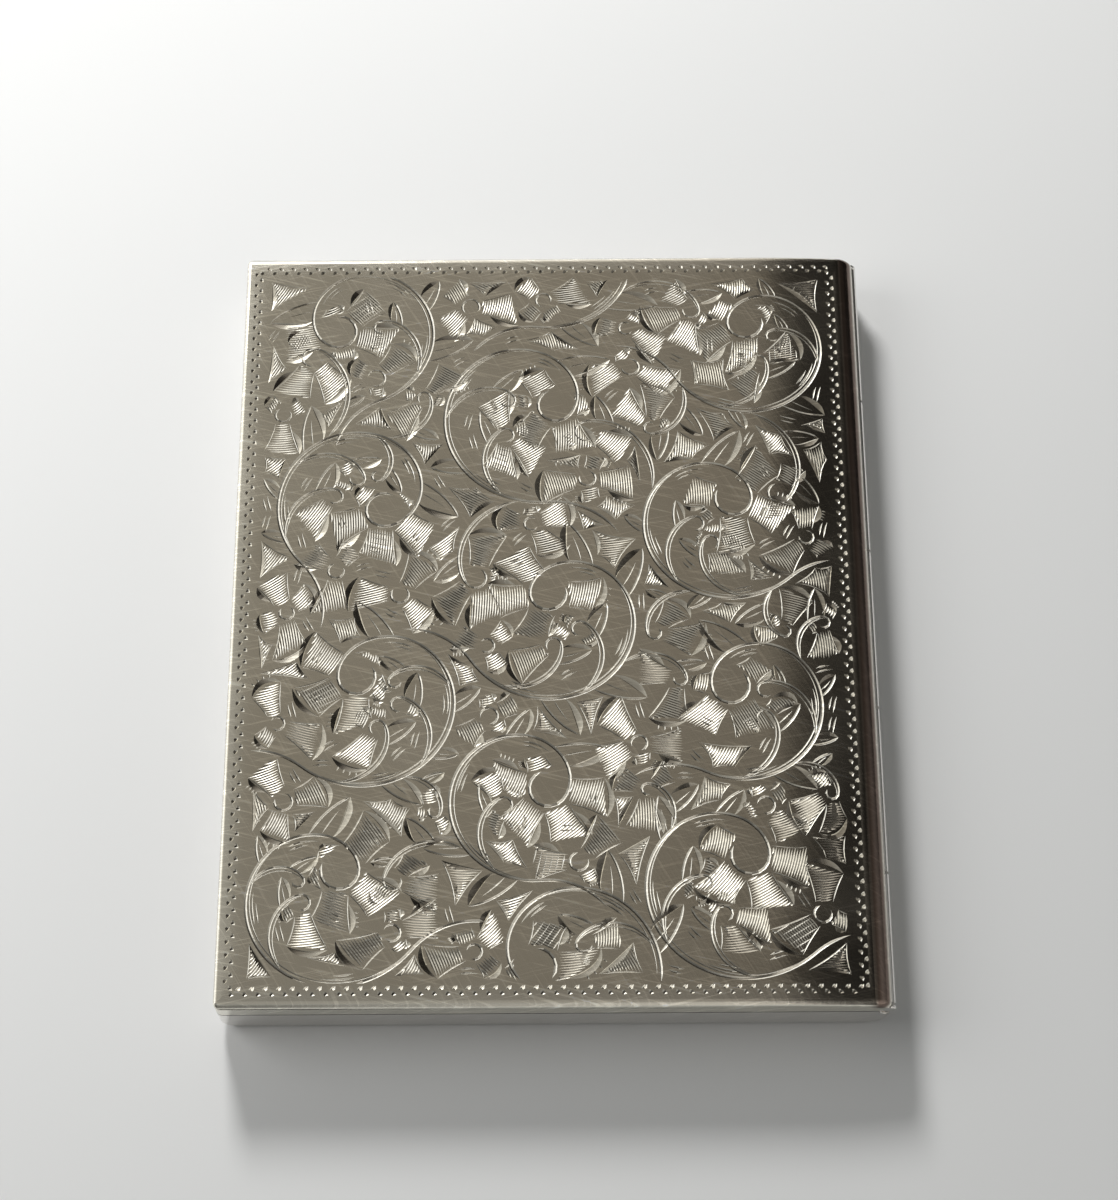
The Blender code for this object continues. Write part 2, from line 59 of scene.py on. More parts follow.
# Lid and tray outlines: places come from the frame, edge shapes match the shells of the frame
LID_LOW, LID_HIGH = (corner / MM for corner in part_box("lid_shell"))
TRAY_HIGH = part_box("base_shell")[1] / MM
BARREL_LOW, BARREL_HIGH = (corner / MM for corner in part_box("base_knuckle_1"))
HALF_WIDTH = -LID_LOW.x
HALF_LENGTH = LID_HIGH.y
TOP_Z = LID_HIGH.z
SHEET = 0.8
END_EDGE_R = 0.8
FORE_EDGE_R = 0.5
SPINE_ROLL_R = 2.4
CROWN_START_X = 25.0
CROWN_SLOPE = math.radians(6.0)
TRAY_FORE_ROLL_R = 2.0
TRAY_SPINE_ROLL_R = 3.0
CHANNEL_CLEARANCE = 0.25
BUTTON_HALF_LENGTH = 4.0
BUTTON_CLEARANCE = 0.25
OVERCUT = 2.0
CROWN_STEPS = 16
ROLL_STEPS = 20
EDGE_STEPS = 5
BARREL_STEPS = 64

# The lid's face falls near its edges: reach and depth of the fall, and how far below the face it fades out
PILLOW_REACH = 2.2
PILLOW_DROP = 0.12
PILLOW_FADE = 0.75

# Extra points of the lid's mesh: a grid on the crown and lines along the pillowed edges
CROWN_GRID_X = 0.7
CROWN_GRID_Y = 1.1
CROWN_GRID_INSET = 0.6
PILLOW_LINES = (0.3, 0.75, 1.3, PILLOW_REACH)
PILLOW_LINE_STEP = 0.9
ROLL_MARGIN = 0.4
SLIVER_AREA = 0.001
PLATE_SLACK = 0.002

# Edges sharper than this stay crisp, elsewhere and on the engraving
CRISP_ANGLE = math.radians(35.0)
ENGRAVED_CRISP_ANGLE = math.radians(4.0)

# The lid face that carries the engraving
ROLL_X = HALF_WIDTH - SPINE_ROLL_R
PLATE_LOW_X = -HALF_WIDTH + FORE_EDGE_R
PLATE_HIGH_X = ROLL_X + SPINE_ROLL_R * math.sin(CROWN_SLOPE)
PLATE_HALF_Y = HALF_LENGTH - END_EDGE_R
CROWN_LENGTH = PLATE_HIGH_X - CROWN_START_X
CROWN_DROP = CROWN_LENGTH * math.tan(CROWN_SLOPE) / 2
ROLL_Z = TOP_Z - CROWN_DROP - SPINE_ROLL_R * math.cos(CROWN_SLOPE)

# Engraved field and its border of wriggle cuts
BORDER_INSET = 1.15
BORDER_PITCH = 1.5
BORDER_ROW_OFFSET = 0.30
BORDER_REACH = (0.30, 0.20)
FIELD_INSET = 1.9
FIELD_LOW_X = PLATE_LOW_X + FIELD_INSET
FIELD_HIGH_X = PLATE_HIGH_X - FIELD_INSET
FIELD_HALF_Y = PLATE_HALF_Y - FIELD_INSET

# Running scrolls: a stem bends at SCROLL_R, tightens, and hooks round a small flat disc. Bends are pairs of
# a share of the stem's points and a bend radius, from 0 for the hook's own to 1 for the widest.
COLUMNS = 3
ROWS = 4
COLUMN_PITCH = 22.4
ROW_PITCH = 23.4
PLACE_JITTER = 1.3
START_JITTER = 1.0
SCROLL_R = 11.0
SCROLL_R_JITTER = (-2.4, 0.3)
HOOK_R = 2.2
SCROLL_TURN = math.radians(520)
SCROLL_BENDS = ((0.0, 1.25), (0.20, 1.0), (0.42, 0.62), (0.56, 0.26), (0.63, 0.0), (1.0, 0.0))
SCROLL_POINTS = 150
LEAD_TURN = math.radians(55)
LEAD_POINTS = 20

# Side shoots: the same hooked shape, smaller, with the room each one needs
SHOOT_R = 7.5
SHOOT_HOOK_R = 1.3
LEAST_HOOK_SCALE = 0.55
SHOOT_TURN = math.radians(325)
SHOOT_BENDS = ((0.0, 1.2), (0.28, 0.9), (0.42, 0.0), (1.0, 0.0))
SHOOT_POINTS = 60
SHOOT_BODY_POINTS = 28
LEAVING_ANGLE = math.radians(14)
SHOOT_ROOT = 3.4
ROOT_MARGIN = 0.6
SHOOT_MARGIN = 0.75
SHOOT_HOOK_MARGIN = 0.7

# Where motifs leave a stem, in shares of its length, and the sizes tried for each, largest first
INNER_SHOOTS = (0.10, 0.34, 0.56)
INNER_SHOOT_SCALES = (0.72, 0.6, 0.5)
OUTER_SHOOTS = (0.04, 0.24, 0.44, 0.64)
OUTER_SHOOT_SCALES = (1.0, 0.8, 0.62, 0.5)
STEM_LEAVES = (0.05, 0.20, 0.35, 0.50, 0.65, 0.80)
STEM_LEAF_LENGTHS = (6.2, 5.2, 4.2, 3.2)
SHOOT_LEAVES = (0.30, 0.72)
SHOOT_LEAF_LENGTHS = (4.2, 3.4, 2.6)
ACCENTS = (0.14, 0.46, 0.74)

# A leaf's points along and away from its stem, in shares of its length
LEAF_TIP = (0.82, 0.66)
LEAF_MIDDLE = (0.34, 0.50)
LEAF_HOLLOW = (0.18, 0.12)

# Cuts: width and depth of each kind
STEM_CUT = (0.36, 0.105)
BRANCH_CUT = (0.28, 0.085)
OUTLINE_CUT = (0.15, 0.045)
HATCH_PITCH = 0.30
HATCH_CUT = (0.28, 0.060)
HATCH_END_JITTER = (-0.05, 0.22)
SHORTEST_HATCH = 0.45
ACCENT_CUT = (0.26, 0.085)
ACCENT_STROKES = ((0.75, 4.6), (1.2, 3.2))
WEDGE_CUT = (0.72, 0.13)
TICK_CUT = (0.16, 0.05)
BORDER_CUT = (0.50, 0.13)
WEDGE_LEAN = 0.14

# Flat margins kept round stems, and the room that each kind of motif needs
TIP_MARGIN = 0.8
CORNER_MARGIN = 0.3
PATCH_ROOM = 1.45
PATCH_REACH = 3.4
HUB_ROOM = 2.5
HUB_R = (0.8, 1.1)
LEAST_ROOM = 1.2
BODY_WIDTH = 1.7
ALONG_STEP = 0.35
SECOND_LINE_GAP = 0.5
SECOND_LINE_SHARE = 0.75
SHOOT_LINE_GAP = 0.42

# Hatched arms: length, half width at the tips, the shorter side's share, and how often each kind is cut
LONGEST_ARM = 5.0
LEAST_ARM = 1.1
HUB_GAP = 0.3
ARM_SPREAD = 0.60
WIDEST_SPREAD = 2.7
SHORT_SIDE = 0.80
ARM_STEP = math.radians(15)
ARMS_APART = math.radians(58)
HUB_ARMS_APART = math.radians(64)
PATCH_CORNERS_APART = 1.1
CROSS_HATCH_ODDS = 0.08
END_WEDGE_ODDS = 0.4
TICKED_ODDS = 0.4

rng = random.Random(11)
grooves = []
hooks = []
shoots = []


# ---------------------------------------------------------------------------
# Grooves
# ---------------------------------------------------------------------------


def resample(points, step):
    """The polyline with points about a step apart, ends kept."""
    points = np.asarray(points, float)
    run = np.concatenate([[0.0], np.cumsum(np.hypot(*np.diff(points, axis=0).T))])
    count = max(4, int(round(run[-1] / step)) + 1)
    at = np.linspace(0.0, run[-1], count)
    return np.stack([np.interp(at, run, points[:, k]) for k in range(2)], axis=1)


def side_normals(points):
    tangent = np.gradient(points, axis=0)
    tangent /= np.maximum(np.hypot(tangent[:, 0], tangent[:, 1]), 1e-9)[:, None]
    return np.stack([-tangent[:, 1], tangent[:, 0]], axis=1)


def runs_inside(points, inset):
    """The stretches of a polyline that stay on the plate."""
    inside = (
        (points[:, 0] > PLATE_LOW_X + inset)
        & (points[:, 0] < PLATE_HIGH_X - inset)
        & (np.abs(points[:, 1]) < PLATE_HALF_Y - inset)
    )
    runs = []
    start = None
    for i, flag in enumerate(list(inside) + [False]):
        if flag and start is None:
            start = i
        elif not flag and start is not None:
            if i - start >= 4:
                runs.append(points[start:i])
            start = None
    return runs


def engrave(points, cut, rise=0.3, fall=0.3, lean=0.5, step=0.9, inset=FIELD_INSET):
    """A V groove along points. It swells over the rise and thins over the fall; lean puts the bottom
    line nearer the left side (0) or the right side (1)."""
    width, depth = cut
    for run in runs_inside(resample(points, step), inset):
        along = np.linspace(0.0, 1.0, len(run))
        swell = np.clip(np.minimum(along / rise, (1 - along) / fall), 0.0, 1.0)
        swell = np.sin(swell * math.pi / 2)
        normal = side_normals(run)
        left = run + normal * (width * swell * lean)[:, None]
        right = run - normal * (width * swell * (1 - lean))[:, None]
        grooves.append((left, run, right, depth * swell))


def bend(start, control, end, count=8):
    """Quadratic curve from start to end, pulled towards control."""
    t = np.linspace(0.0, 1.0, count)[:, None]
    start, control, end = (np.asarray(point, float) for point in (start, control, end))
    return (1 - t) ** 2 * start + 2 * t * (1 - t) * control + t**2 * end


def circle(centre, radius, start=0.0, turn=2 * math.pi, count=28):
    angles = start + turn * np.linspace(0.0, 1.0, count)
    return np.asarray(centre) + radius * np.stack([np.cos(angles), np.sin(angles)], axis=1)


def polar(centre, radius, angle):
    return np.asarray(centre) + radius * np.array([math.cos(angle), math.sin(angle)])


# ---------------------------------------------------------------------------
# Free space: distance from each cell of a grid to the nearest thing engraved
# ---------------------------------------------------------------------------

CELL = 0.15
REACH = 5.0
grid_x = np.arange(FIELD_LOW_X, FIELD_HIGH_X, CELL)
grid_y = np.arange(-FIELD_HALF_Y, FIELD_HALF_Y, CELL)
free = np.minimum.outer(
    np.minimum(grid_x - FIELD_LOW_X, FIELD_HIGH_X - grid_x),
    FIELD_HALF_Y - np.abs(grid_y),
)


def occupy(points):
    """Lowers the free distance round every point."""
    span = int(REACH / CELL)
    for x, y in points:
        i = int((x - FIELD_LOW_X) / CELL)
        j = int((y + FIELD_HALF_Y) / CELL)
        i0, i1 = max(i - span, 0), min(i + span, len(grid_x))
        j0, j1 = max(j - span, 0), min(j + span, len(grid_y))
        if i0 >= i1 or j0 >= j1:
            continue
        distance = np.hypot.outer(grid_x[i0:i1] - x, grid_y[j0:j1] - y)
        free[i0:i1, j0:j1] = np.minimum(free[i0:i1, j0:j1], distance)


def free_at(point):
    i = int((point[0] - FIELD_LOW_X) / CELL)
    j = int((point[1] + FIELD_HALF_Y) / CELL)
    if 0 <= i < len(grid_x) and 0 <= j < len(grid_y):
        return free[i, j]
    return 0.0


# ---------------------------------------------------------------------------
# Motifs
# ---------------------------------------------------------------------------


def tendril(start, heading, hand, turn, widest, tightest, bends, count):
    """A stem drawn by its bend radius, which runs from widest to tightest as the stem turns."""
    share = np.linspace(0.0, 1.0, count)
    weight = np.interp(share, [knot[0] for knot in bends], [knot[1] for knot in bends])
    radius = tightest + (widest - tightest) * weight
    heading = heading + hand * turn * share
    steps = (radius * turn / count)[:, None] * np.stack([np.cos(heading), np.sin(heading)], axis=1)
    return np.asarray(start) + np.cumsum(steps, axis=0)


def heading_at(points, i):
    dx, dy = points[min(i + 1, len(points) - 1)] - points[max(i - 1, 0)]
    return math.atan2(dy, dx)


def hook_centre(points, bends, radius, hand):
    """Middle of the flat disc that a hook winds round."""
    i = int(len(points) * (bends[-2][0] + 1) / 2)
    heading = heading_at(points, i)
    return points[i] + radius * hand * np.array([-math.sin(heading), math.cos(heading)])


def jitter(most):
    return rng.uniform(-most, most)


def occupy_disc(centre, radius):
    for ring in (0.0, 0.5, 0.9):
        occupy(circle(centre, radius * ring, count=12))


def main_stem(centre, radius, start, hand):
    """One scroll: a lead-in that bends the other way, then the stem and its hook."""
    root = polar(centre, radius, start)
    heading = start + hand * math.pi / 2
    stem = tendril(root, heading, hand, SCROLL_TURN, radius, HOOK_R, SCROLL_BENDS, SCROLL_POINTS)
    lead = tendril(root, heading + math.pi, hand, LEAD_TURN, radius, radius, SCROLL_BENDS, LEAD_POINTS)
    whole = np.concatenate([lead[::-1], stem])
    engrave(whole, STEM_CUT, rise=0.05, fall=0.02, step=0.8)
    occupy(whole)
    hook = hook_centre(stem, SCROLL_BENDS, HOOK_R, hand)
    occupy_disc(hook, HOOK_R)
    before_hook = resample(stem[: int(len(stem) * SCROLL_BENDS[-2][0])], ALONG_STEP)
    second_line(before_hook[: int(SECOND_LINE_SHARE * len(before_hook))], hand, SECOND_LINE_GAP)
    return before_hook, hook


def second_line(stem, side, widest):
    """A thin line that leaves a stem, keeps beside it and joins it again."""
    gap = widest * np.sin(math.pi * np.linspace(0.0, 1.0, len(stem))) ** 0.6
    engrave(stem + side_normals(stem) * (side * gap)[:, None], OUTLINE_CUT, rise=0.2, fall=0.2, step=0.9)


def keep_body(stem, hand):
    """Keeps a band inside the stem flat: it swells from the root and narrows to the hook."""
    width = BODY_WIDTH * np.sin(math.pi * np.linspace(0.0, 1.0, len(stem))) ** 0.7
    for share in (0.5, 1.0):
        occupy((stem + side_normals(stem) * (hand * share * width)[:, None])[::2])


def shoot(stem, share, side, scales):
    """A side shoot ending in a small hook, as large as the room beside the stem allows."""
    i = int(share * (len(stem) - 1))
    heading = heading_at(stem, i) + side * LEAVING_ANGLE
    for scale in scales:
        radius = SHOOT_R * scale
        hook_r = SHOOT_HOOK_R * max(scale, LEAST_HOOK_SCALE)
        line = tendril(stem[i], heading, side, SHOOT_TURN, radius, hook_r, SHOOT_BENDS, SHOOT_POINTS)
        hook = hook_centre(line, SHOOT_BENDS, hook_r, side)
        past_root = line[np.hypot(*(line - stem[i]).T) > SHOOT_ROOT * scale + ROOT_MARGIN]
        line_is_clear = min(free_at(point) for point in past_root) > SHOOT_MARGIN
        if line_is_clear and free_at(hook) > hook_r + SHOOT_HOOK_MARGIN:
            engrave(line, BRANCH_CUT, rise=0.1, fall=0.05, step=0.5)
            occupy(line)
            occupy_disc(hook, hook_r)
            hooks.append((hook, hook_r))
            before_hook = resample(line[:SHOOT_BODY_POINTS], ALONG_STEP)
            second_line(before_hook, side, SHOOT_LINE_GAP)
            shoots.append((before_hook, side))
            return


def pointed_leaf(stem, share, side, lengths):
    """A curved leaf that leaves a stem and ends in a point; a bright cut hollows its inner side."""
    i = int(share * (len(stem) - 1))
    heading = heading_at(stem, i)
    along = np.array([math.cos(heading), math.sin(heading)])
    away = side * np.array([-along[1], along[0]])

    def spot(start, place, length):
        return start + along * length * place[0] + away * length * place[1]

    for length in lengths:
        tip = spot(stem[i], LEAF_TIP, length)
        middle = spot(stem[i], LEAF_MIDDLE, length)
        if free_at(tip) > 0.7 and free_at(middle) > 0.3 * length:
            foot = stem[min(i + int(0.5 * length / ALONG_STEP), len(stem) - 1)]
            back = bend(stem[i], middle, tip)
            front = bend(tip, spot(foot, LEAF_HOLLOW, length), foot)
            engrave(back, BRANCH_CUT, rise=0.25, fall=0.15, step=0.6)
            engrave(front, (0.10 + 0.12 * length, 0.03 + 0.02 * length), 0.35, 0.65, 0.5 + 0.36 * side, 0.5)
            vein = bend(stem[i] + along * length * 0.25, (middle + foot) / 2, (tip * 2 + middle + foot) / 4)
            engrave(vein, OUTLINE_CUT, rise=0.3, fall=0.7, step=0.7)
            for line in (back, vein, front):
                occupy(line)
            return


def accent_pair(middle, heading, length):
    """Two parallel strokes, the second a little shorter."""
    along = np.array([math.cos(heading), math.sin(heading)])
    across = np.array([-along[1], along[0]])
    for offset, share in ((-0.27, 1.0), (0.27, 0.8)):
        ends = [middle + across * offset + along * length * share * s for s in (-0.5, 0.5)]
        bow = middle + across * (offset + 0.18)
        engrave(bend(ends[0], bow, ends[1]), ACCENT_CUT, rise=0.25, fall=0.75, step=0.7)
        occupy([ends[0], middle, ends[1]])


def accents(stem, hand):
    """Pairs of long strokes that follow the stem inside its flat band."""
    for share in ACCENTS:
        first = int((share + jitter(0.05)) * len(stem))
        for offset, length in ACCENT_STROKES:
            span = stem[first:first + int(length / ALONG_STEP)]
            if len(span) > 4:
                stroke = span + side_normals(span) * hand * offset
                engrave(stroke, ACCENT_CUT, rise=0.25, fall=0.75, step=0.8)
                occupy(stroke)


def inside_polygon(polygon, direction, offset):
    """Stretches, measured along a direction, where a line at an offset lies inside a polygon."""
    across = np.array([-direction[1], direction[0]])
    height = polygon @ across - offset
    along = polygon @ direction
    crossings = []
    for i in range(len(polygon)):
        k = (i + 1) % len(polygon)
        if (height[i] > 0) != (height[k] > 0):
            share = height[i] / (height[i] - height[k])
            crossings.append(along[i] + share * (along[k] - along[i]))
    crossings.sort()
    return list(zip(crossings[::2], crossings[1::2]))


def hatch(polygon, angle, pitch=HATCH_PITCH, cut=HATCH_CUT):
    """Fills a polygon with parallel grooves."""
    direction = np.array([math.cos(angle), math.sin(angle)])
    across = np.array([-direction[1], direction[0]])
    heights = polygon @ across
    for offset in np.arange(heights.min() + pitch * 0.7, heights.max() - pitch * 0.4, pitch):
        for low, high in inside_polygon(polygon, direction, offset):
            if high - low < SHORTEST_HATCH:
                continue
            ends = (low + rng.uniform(*HATCH_END_JITTER), high - rng.uniform(*HATCH_END_JITTER))
            line = [direction * s + across * offset for s in ends]
            engrave(line, cut, rise=0.15, fall=0.35, step=1.2)


def wedge(start, bow, end, size, ticked):
    """A crescent cut with one wide bright facet, some crossed by short ticks."""
    crescent = bend(start, bow, end)
    width, depth = WEDGE_CUT
    engrave(crescent, (width * size, depth * size), rise=0.45, fall=0.55, lean=WEDGE_LEAN, step=0.5)
    occupy(crescent)
    if ticked:
        normal = side_normals(crescent)
        for i in range(2, len(crescent) - 2):
            tick = [crescent[i] - normal[i] * reach for reach in (0.45 * size, 1.0 * size)]
            engrave(tick, TICK_CUT, rise=0.3, fall=0.3, step=0.3)


def reach_of(centre, hub, angle):
    """How far a tip can run from a hub before it comes near something engraved."""
    length = hub + 0.5
    while length < hub + LONGEST_ARM:
        margin = min(TIP_MARGIN, 0.6 * (length - hub))
        if free_at(polar(centre, length, angle)) < margin:
            break
        length += 0.2
    return length


def corner_of(centre, hub, reach, angle):
    """A tip pulled back until it is clear of what is engraved already."""
    while reach > hub + 0.6 and free_at(polar(centre, reach, angle)) < CORNER_MARGIN:
        reach -= 0.15
    return polar(centre, reach, angle)


def arm_angles(centre, hub, most, apart):
    """Directions with the most room, kept well apart from each other."""
    turned = rng.uniform(0.0, 0.26)
    angles = [turned + ARM_STEP * k for k in range(24)]
    choices = sorted(((reach_of(centre, hub, angle), angle) for angle in angles), reverse=True)
    chosen = []
    for reach, angle in choices:
        gaps = [abs(math.remainder(angle - other, 2 * math.pi)) for _, other in chosen]
        if reach > hub + LEAST_ARM and len(chosen) < most and all(gap > apart for gap in gaps):
            chosen.append((reach, angle % (2 * math.pi)))
    return sorted(chosen, key=lambda choice: choice[1])


def arm(centre, hub, reach, angle, before, after):
    """One hatched patch: narrow at the hub, ending in two tips, with hollow sides."""
    length = reach - hub
    spread = math.atan2(min(WIDEST_SPREAD, length * ARM_SPREAD), reach)
    long_side = rng.choice((-1, 1))
    right = corner_of(centre, hub, hub + length * (1.0 if long_side < 0 else SHORT_SIDE), angle - spread)
    left = corner_of(centre, hub, hub + length * (1.0 if long_side > 0 else SHORT_SIDE), angle + spread)
    inner = polar(centre, hub + length * 0.40, angle)
    right_side = bend(before, (before + right) * 0.40 + inner * 0.20, right)
    end = bend(right, polar(centre, hub + length * SHORT_SIDE, angle), left)
    left_side = bend(left, (after + left) * 0.40 + inner * 0.20, after)
    polygon = np.concatenate([[polar(centre, hub, angle)], right_side, end[1:], left_side[1:]])
    slant = angle + rng.choice((math.pi / 2, math.pi / 2, 0.0)) + rng.uniform(-0.35, 0.35)
    hatch(polygon, slant)
    if rng.random() < CROSS_HATCH_ODDS:
        hatch(polygon, slant + math.radians(82), HATCH_PITCH * 2.2, OUTLINE_CUT)

    size = min(1.0, 0.42 + length * 0.15)
    ticked = rng.random() < TICKED_ODDS
    tip, valley = (left, after) if long_side > 0 else (right, before)
    if rng.random() < END_WEDGE_ODDS:
        wedge(right, polar(centre, hub + length * 0.98, angle), left, size, ticked)
    else:
        outside = tip + (valley - tip) * 0.4 + (tip - inner) * 0.14
        ends = (tip, tip + (valley - tip) * 0.75)
        first, last = ends if long_side > 0 else reversed(ends)
        wedge(first, outside, last, size, ticked)
    for side in (right_side, left_side):
        engrave(side, OUTLINE_CUT, rise=0.2, fall=0.2)
    return polygon


def cluster(centre, hub, most, apart):
    """Hatched arms spread round a hub, with flat hollows between them."""
    centre = np.asarray(centre)
    arms = arm_angles(centre, hub, most, apart)
    valleys = []
    for i, (_, angle) in enumerate(arms):
        ahead = (arms[(i + 1) % len(arms)][1] - angle) % (2 * math.pi) or 2 * math.pi
        half = min(ahead / 2, math.radians(36))
        reach = hub + (0.5 if ahead < 2.0 else 0.15)
        valleys.append((polar(centre, reach, angle + half), polar(centre, reach, angle + ahead - half)))
    polygons = []
    for i, (reach, angle) in enumerate(arms):
        polygons.append(arm(centre, hub, reach, angle, valleys[i - 1][1], valleys[i][0]))
    for polygon in polygons:
        occupy(polygon)
        occupy(centre + (polygon - centre) * 0.6)
    occupy([centre])


def hub_cluster(centre, radius):
    """A small flat disc, hooked round by its outline, with arms all round it."""
    turned = rng.uniform(0.0, 2 * math.pi)
    cluster(centre, radius + HUB_GAP, 4, HUB_ARMS_APART)
    engrave(circle(centre, radius, turned, 4.9, 24), BRANCH_CUT, rise=0.1, fall=0.25, step=0.45)
    occupy(circle(centre, radius, count=16))


def ground_patch(centre):
    """A hatched star of three or four points with hollow sides, one of them cut bright."""
    tips = arm_angles(centre, 0.0, 4, PATCH_CORNERS_APART)
    corners = [corner_of(centre, 0.0, min(reach, PATCH_REACH), angle) for reach, angle in tips]
    if len(corners) < 3:
        return False
    sides = []
    for i, corner in enumerate(corners):
        following = corners[(i + 1) % len(corners)]
        sides.append(bend(corner, (corner + following) * 0.30 + centre * 0.40, following, 6))
    polygon = np.concatenate([side[1:] for side in sides])
    hatch(polygon, rng.uniform(0.0, math.pi))
    bright = rng.randrange(len(sides))
    for i, side in enumerate(sides):
        if i == bright:
            size = min(0.9, 0.2 + 0.17 * np.hypot(*(side[-1] - side[0])))
            wedge(side[-1], side[len(side) // 2], side[0], size, rng.random() < TICKED_ODDS)
        else:
            engrave(side, OUTLINE_CUT, rise=0.2, fall=0.2)
        occupy(side)
    occupy(centre + (polygon - centre) * 0.5)
    occupy([centre])
    return True


def fill_gaps():
    """Works through the roomiest free places: hub clusters, then hatched stars, then pairs of strokes."""
    while True:
        i, j = np.unravel_index(np.argmax(free), free.shape)
        room = free[i, j]
        if room < LEAST_ROOM:
            return
        centre = np.array([grid_x[i], grid_y[j]])
        if room > HUB_ROOM:
            hub_cluster(centre, rng.uniform(*HUB_R))
            continue
        if room > PATCH_ROOM and ground_patch(centre):
            continue
        turns = [ARM_STEP * k for k in range(12)]
        ridge = max(turns, key=lambda turn: sum(free_at(polar(centre, way, turn)) for way in (1.2, -1.2)))
        accent_pair(centre, ridge, 2.2)
        occupy(circle(centre, 0.5, count=8))


def wriggle_border():
    """Two rows of short slanted cuts, half a pitch apart, that make a zigzag inside the plate's edge."""
    low_x = PLATE_LOW_X + BORDER_INSET
    high_x = PLATE_HIGH_X - BORDER_INSET
    high_y = PLATE_HALF_Y - BORDER_INSET
    corners = np.array([(low_x, -high_y), (high_x, -high_y), (high_x, high_y), (low_x, high_y)])
    for i, corner in enumerate(corners):
        side_vector = corners[(i + 1) % 4] - corner
        length = np.hypot(*side_vector)
        along = side_vector / length
        across = np.array([-along[1], along[0]])
        count = int(length / BORDER_PITCH)
        for k in range(count):
            place = corner + along * length * (k + 0.5) / count
            for row in (-1.0, 1.0):
                middle = place + across * row * BORDER_ROW_OFFSET + along * row * BORDER_PITCH / 4
                reach = along * BORDER_REACH[0] + across * row * BORDER_REACH[1]
                engrave([middle - reach, middle + reach], BORDER_CUT, 0.5, 0.5, 0.3, 0.3, 0.5)


def draw_ornament():
    wriggle_border()
    middle_x = (FIELD_LOW_X + FIELD_HIGH_X) / 2
    stems = []
    for column in range(COLUMNS):
        x = middle_x + (column - (COLUMNS - 1) / 2) * COLUMN_PITCH
        shifted = column % 2
        for row in range(ROWS + shifted):
            y = (row - (ROWS - 1 + shifted) / 2) * ROW_PITCH
            centre = (x + jitter(PLACE_JITTER), y + jitter(PLACE_JITTER))
            hand = 1 if (row + column) % 2 else -1
            start = -math.pi / 2 + jitter(START_JITTER)
            stem, hook = main_stem(centre, SCROLL_R + rng.uniform(*SCROLL_R_JITTER), start, hand)
            stems.append((stem, hand))
            hooks.append((hook, HOOK_R))
    for stem, hand in stems:
        for share in INNER_SHOOTS:
            shoot(stem, share + jitter(0.04), hand, INNER_SHOOT_SCALES)
        for share in OUTER_SHOOTS:
            shoot(stem, share + jitter(0.04), -hand, OUTER_SHOOT_SCALES)
    for stem, hand in stems:
        keep_body(stem, hand)
        for share in STEM_LEAVES:
            pointed_leaf(stem, share + jitter(0.02), -hand, STEM_LEAF_LENGTHS)
    for stem, side in shoots:
        for share in SHOOT_LEAVES:
            pointed_leaf(stem, share, -side, SHOOT_LEAF_LENGTHS)
    for hook, radius in hooks:
        cluster(hook, radius + HUB_GAP, 4 if radius < HOOK_R else 5, ARMS_APART)
    for stem, hand in stems:
        accents(stem, hand)
    fill_gaps()


# ---------------------------------------------------------------------------
# Shells
# ---------------------------------------------------------------------------


def arc(centre, radius, start, end, steps):
    turn = (end - start) / steps
    return [polar(centre, radius, start + turn * i) for i in range(steps + 1)]


def plate_z(x):
    """Height of the uncut lid face, flat and then crowned towards the hinge."""
    past = max(0.0, x - CROWN_START_X) / CROWN_LENGTH
    return TOP_Z - CROWN_DROP * past * past


def pillow_drop(x, y):
    """How far the lid's face falls near its edges, so that they catch the light."""
    edge_gap = min(x - PLATE_LOW_X, PLATE_HALF_Y - abs(y))
    return PILLOW_DROP * (1 - min(max(edge_gap, 0.0), PILLOW_REACH) / PILLOW_REACH) ** 2


def lid_section(inset, rim_z):
    roll_r = SPINE_ROLL_R - inset
    fore_x = -HALF_WIDTH + inset
    points = [(fore_x, rim_z)]
    if inset:
        points.append((fore_x, TOP_Z - inset))
    else:
        fore_centre = (fore_x + FORE_EDGE_R, TOP_Z - FORE_EDGE_R)
        points += arc(fore_centre, FORE_EDGE_R, math.pi, math.pi / 2, EDGE_STEPS)
    for i in range(CROWN_STEPS):
        x = CROWN_START_X + CROWN_LENGTH * i / CROWN_STEPS
        points.append((x, plate_z(x) - inset))
    points += arc((ROLL_X, ROLL_Z), roll_r, math.pi / 2 - CROWN_SLOPE, 0.0, ROLL_STEPS)
    points.append((ROLL_X + roll_r, rim_z))
    return points


def tray_section(inset, rim_z):
    fore_r = TRAY_FORE_ROLL_R - inset
    spine_r = TRAY_SPINE_ROLL_R - inset
    fore_centre = (-HALF_WIDTH + TRAY_FORE_ROLL_R, TRAY_FORE_ROLL_R)
    spine_centre = (HALF_WIDTH - TRAY_SPINE_ROLL_R, TRAY_SPINE_ROLL_R)
    points = [(HALF_WIDTH - inset, rim_z)]
    points += arc(spine_centre, spine_r, 0.0, -math.pi / 2, ROLL_STEPS)
    points += arc(fore_centre, fore_r, -math.pi / 2, -math.pi, ROLL_STEPS)
    points.append((-HALF_WIDTH + inset, rim_z))
    return points


